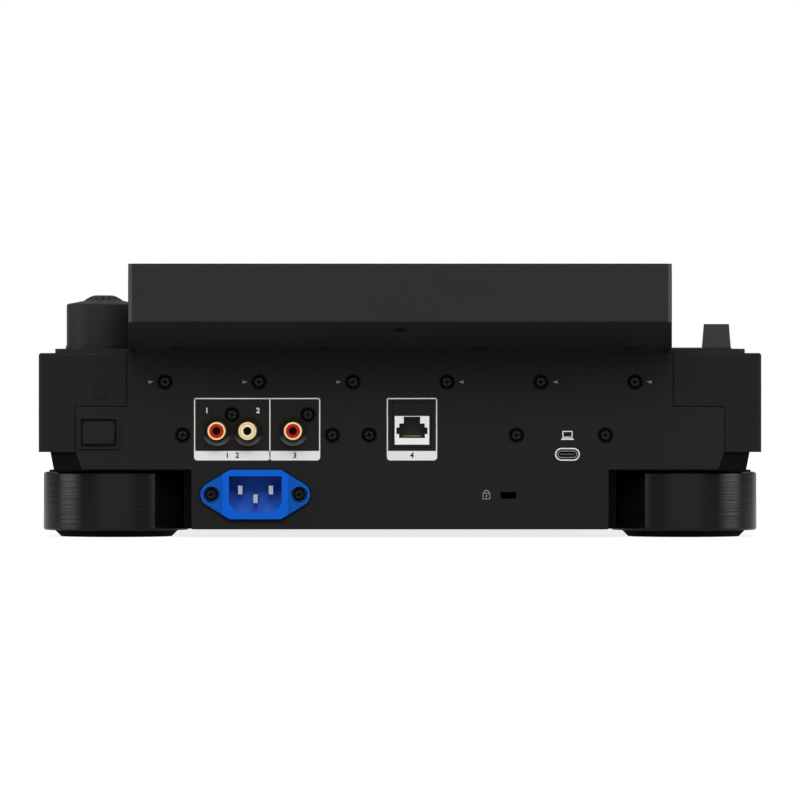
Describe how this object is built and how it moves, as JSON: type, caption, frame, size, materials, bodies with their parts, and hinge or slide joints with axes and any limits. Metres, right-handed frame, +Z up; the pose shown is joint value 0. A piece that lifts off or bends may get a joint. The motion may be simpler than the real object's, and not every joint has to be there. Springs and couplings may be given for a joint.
{
  "type": "tabletop dj cd player",
  "caption": "Flat DJ disc player with a jog wheel, an overhanging tilted display, drum feet, deck keys, a fader and a rear socket panel.",
  "frame": {"origin": "on the table under the middle of the machine's box", "axes": "+Z up, -Y towards the DJ (front), +Y towards the rear panel, +X to the DJ's right"},
  "size_m": [0.329, 0.453, 0.1237],
  "materials": {
    "case_plastic": "fine matt black moulding",
    "deck_metal": "satin black paint",
    "panel_metal": "matt black powder coat with white print",
    "chassis_metal": "matt black powder coat",
    "bracket_steel": "plain zinc-coated sheet",
    "shaft_steel": "turned",
    "foot_metal": "black anodised, finely turned skirt",
    "foot_rubber": "matt",
    "screw_black": "black zinc",
    "display_glass": "dark gloss",
    "lcd_panel": "dark when switched off",
    "jog_ring": "dark satin with dimples",
    "jog_top": "fine turned",
    "surround_plastic": "gloss black",
    "gear_plastic": "natural white",
    "key_plastic": "light grey",
    "pad_plastic": "translucent grey rubber",
    "play_plastic": "smoked green ring",
    "cue_plastic": "smoked amber ring",
    "knob_plastic": "satin black",
    "power_plastic": "fine matt black",
    "board_laminate": "green solder mask",
    "inlet_plastic": "blue moulding",
    "pin_metal": "nickel plated",
    "jack_metal": "gold plated sleeve in a coloured insert",
    "port_metal": "nickel plated shell"
  },
  "bodies": {
    "player": {"top_case": "case_plastic", "display_housing": "case_plastic", "top_deck": "deck_metal", "rear_panel": "panel_metal", "bottom_chassis": "chassis_metal", "jog_bracket": "bracket_steel", "drive_chassis": "bracket_steel", "lever_frame": "bracket_steel", "fader_unit": "bracket_steel", "foot_screws": "shaft_steel", "feet": "foot_metal", "foot_pads": "foot_rubber", "case_screws": "screw_black", "display_glass": "display_glass", "lcd_module": "lcd_panel", "jog_display": "lcd_panel", "jog_surround": "surround_plastic", "slot_bezel": "surround_plastic", "power_switch": "power_plastic", "selector_encoder": "power_plastic", "control_boards": "board_laminate", "main_board": "board_laminate", "power_supply": "board_laminate", "ac_inlet": "inlet_plastic", "ac_pins": "pin_metal", "rca_jacks": "jack_metal", "lan_port": "port_metal", "usb_c_port": "port_metal"},
    "jog": {"jog_wheel": "jog_ring", "jog_plate": "jog_top"},
    "jog_encoder": {"encoder_gear": "gear_plastic"},
    "selector_press": {"selector_shaft": "shaft_steel"},
    "selector": {"selector_knob": "knob_plastic"},
    "jog_adjust": {"jog_adjust_knob": "knob_plastic"},
    "lever": {"direction_lever": "knob_plastic"},
    "fader": {"tempo_fader": "knob_plastic"},
    "power": {"power_button": "power_plastic"},
    "play": {"play_button": "play_plastic"},
    "cue": {"cue_button": "cue_plastic"},
    "spindle": {"disc_spindle": "shaft_steel"},
    "sled": {"pickup_sled": "gear_plastic"},
    "roller": {"feed_roller": "foot_rubber"},
    "hot_cue_1": {"hot_cue_1": "pad_plastic"},
    "hot_cue_2": {"hot_cue_2": "pad_plastic"},
    "hot_cue_3": {"hot_cue_3": "pad_plastic"},
    "hot_cue_4": {"hot_cue_4": "pad_plastic"},
    "hot_cue_5": {"hot_cue_5": "pad_plastic"},
    "hot_cue_6": {"hot_cue_6": "pad_plastic"},
    "hot_cue_7": {"hot_cue_7": "pad_plastic"},
    "hot_cue_8": {"hot_cue_8": "pad_plastic"},
    "loop_in": {"loop_in_button": "key_plastic"},
    "loop_out": {"loop_out_button": "key_plastic"},
    "reloop": {"reloop_button": "key_plastic"},
    "search_back": {"search_back_button": "key_plastic"},
    "search_forward": {"search_forward_button": "key_plastic"},
    "track_back": {"track_back_button": "key_plastic"},
    "track_forward": {"track_forward_button": "key_plastic"},
    "master_tempo": {"master_tempo_button": "key_plastic"},
    "eject": {"eject_button": "key_plastic"},
    "back": {"back_button": "key_plastic"}
  },
  "joints": [
    {"name": "jog_turn", "type": "hinge", "parent": "player", "child": "jog", "pos_m": [0, -0.086, 0.0765], "axis": [0, 0, 1], "continuous": true},
    {"name": "encoder_turn", "type": "hinge", "parent": "player", "child": "jog_encoder", "pos_m": [0.03762, -0.086, 0.0765], "axis": [0, 0, 1], "continuous": true},
    {"name": "selector_push", "type": "slide", "parent": "player", "child": "selector_press", "axis": [0, 0, -1], "range_m": [0, 0.001], "stiffness_N_per_m": 800, "springref_m": -0.001},
    {"name": "selector_turn", "type": "hinge", "parent": "selector_press", "child": "selector", "pos_m": [0.1366, 0.14, 0.1], "axis": [0, 0, 1], "continuous": true},
    {"name": "adjust_turn", "type": "hinge", "parent": "player", "child": "jog_adjust", "pos_m": [0.135, -0.04, 0.09], "axis": [0, 0, 1], "range_deg": [-150, 150]},
    {"name": "lever_tilt", "type": "hinge", "parent": "player", "child": "lever", "pos_m": [-0.1503, 0.045, 0.0794], "axis": [1, 0, 0], "range_deg": [-15, 15]},
    {"name": "tempo_slide", "type": "slide", "parent": "player", "child": "fader", "axis": [0, 1, 0], "range_m": [-0.045, 0.045]},
    {"name": "power_press", "type": "slide", "parent": "player", "child": "power", "axis": [0, -1, 0], "range_m": [0, 0.0025], "stiffness_N_per_m": 300, "springref_m": -0.001},
    {"name": "play_press", "type": "slide", "parent": "player", "child": "play", "axis": [0, 0, -1], "range_m": [0, 0.001], "stiffness_N_per_m": 600, "springref_m": -0.001},
    {"name": "cue_press", "type": "slide", "parent": "player", "child": "cue", "axis": [0, 0, -1], "range_m": [0, 0.001], "stiffness_N_per_m": 600, "springref_m": -0.001},
    {"name": "hot_cue_1_press", "type": "slide", "parent": "player", "child": "hot_cue_1", "axis": [0, 0, -1], "range_m": [0, 0.001], "stiffness_N_per_m": 400, "springref_m": -0.001},
    {"name": "hot_cue_2_press", "type": "slide", "parent": "player", "child": "hot_cue_2", "axis": [0, 0, -1], "range_m": [0, 0.001], "stiffness_N_per_m": 400, "springref_m": -0.001},
    {"name": "hot_cue_3_press", "type": "slide", "parent": "player", "child": "hot_cue_3", "axis": [0, 0, -1], "range_m": [0, 0.001], "stiffness_N_per_m": 400, "springref_m": -0.001},
    {"name": "hot_cue_4_press", "type": "slide", "parent": "player", "child": "hot_cue_4", "axis": [0, 0, -1], "range_m": [0, 0.001], "stiffness_N_per_m": 400, "springref_m": -0.001},
    {"name": "hot_cue_5_press", "type": "slide", "parent": "player", "child": "hot_cue_5", "axis": [0, 0, -1], "range_m": [0, 0.001], "stiffness_N_per_m": 400, "springref_m": -0.001},
    {"name": "hot_cue_6_press", "type": "slide", "parent": "player", "child": "hot_cue_6", "axis": [0, 0, -1], "range_m": [0, 0.001], "stiffness_N_per_m": 400, "springref_m": -0.001},
    {"name": "hot_cue_7_press", "type": "slide", "parent": "player", "child": "hot_cue_7", "axis": [0, 0, -1], "range_m": [0, 0.001], "stiffness_N_per_m": 400, "springref_m": -0.001},
    {"name": "hot_cue_8_press", "type": "slide", "parent": "player", "child": "hot_cue_8", "axis": [0, 0, -1], "range_m": [0, 0.001], "stiffness_N_per_m": 400, "springref_m": -0.001},
    {"name": "loop_in_press", "type": "slide", "parent": "player", "child": "loop_in", "axis": [0, 0, -1], "range_m": [0, 0.001], "stiffness_N_per_m": 400, "springref_m": -0.001},
    {"name": "loop_out_press", "type": "slide", "parent": "player", "child": "loop_out", "axis": [0, 0, -1], "range_m": [0, 0.001], "stiffness_N_per_m": 400, "springref_m": -0.001},
    {"name": "reloop_press", "type": "slide", "parent": "player", "child": "reloop", "axis": [0, 0, -1], "range_m": [0, 0.001], "stiffness_N_per_m": 400, "springref_m": -0.001},
    {"name": "search_back_press", "type": "slide", "parent": "player", "child": "search_back", "axis": [0, 0, -1], "range_m": [0, 0.001], "stiffness_N_per_m": 400, "springref_m": -0.001},
    {"name": "search_forward_press", "type": "slide", "parent": "player", "child": "search_forward", "axis": [0, 0, -1], "range_m": [0, 0.001], "stiffness_N_per_m": 400, "springref_m": -0.001},
    {"name": "track_back_press", "type": "slide", "parent": "player", "child": "track_back", "axis": [0, 0, -1], "range_m": [0, 0.001], "stiffness_N_per_m": 400, "springref_m": -0.001},
    {"name": "track_forward_press", "type": "slide", "parent": "player", "child": "track_forward", "axis": [0, 0, -1], "range_m": [0, 0.001], "stiffness_N_per_m": 400, "springref_m": -0.001},
    {"name": "master_tempo_press", "type": "slide", "parent": "player", "child": "master_tempo", "axis": [0, 0, -1], "range_m": [0, 0.001], "stiffness_N_per_m": 400, "springref_m": -0.001},
    {"name": "eject_press", "type": "slide", "parent": "player", "child": "eject", "axis": [0, 0, -1], "range_m": [0, 0.001], "stiffness_N_per_m": 400, "springref_m": -0.001},
    {"name": "back_press", "type": "slide", "parent": "player", "child": "back", "axis": [0, 0, -1], "range_m": [0, 0.001], "stiffness_N_per_m": 400, "springref_m": -0.001},
    {"name": "spindle_turn", "type": "hinge", "parent": "player", "child": "spindle", "pos_m": [0, -0.148, 0.0465], "axis": [0, 0, 1], "continuous": true},
    {"name": "sled_slide", "type": "slide", "parent": "player", "child": "sled", "axis": [0, 1, 0], "range_m": [0, 0.032]},
    {"name": "roller_turn", "type": "hinge", "parent": "player", "child": "roller", "pos_m": [0, -0.21, 0.0467], "axis": [1, 0, 0], "continuous": true}
  ],
  "couplings": [
    {"joint": "encoder_turn", "follows": "jog_turn", "ratio": -4}
  ]
}
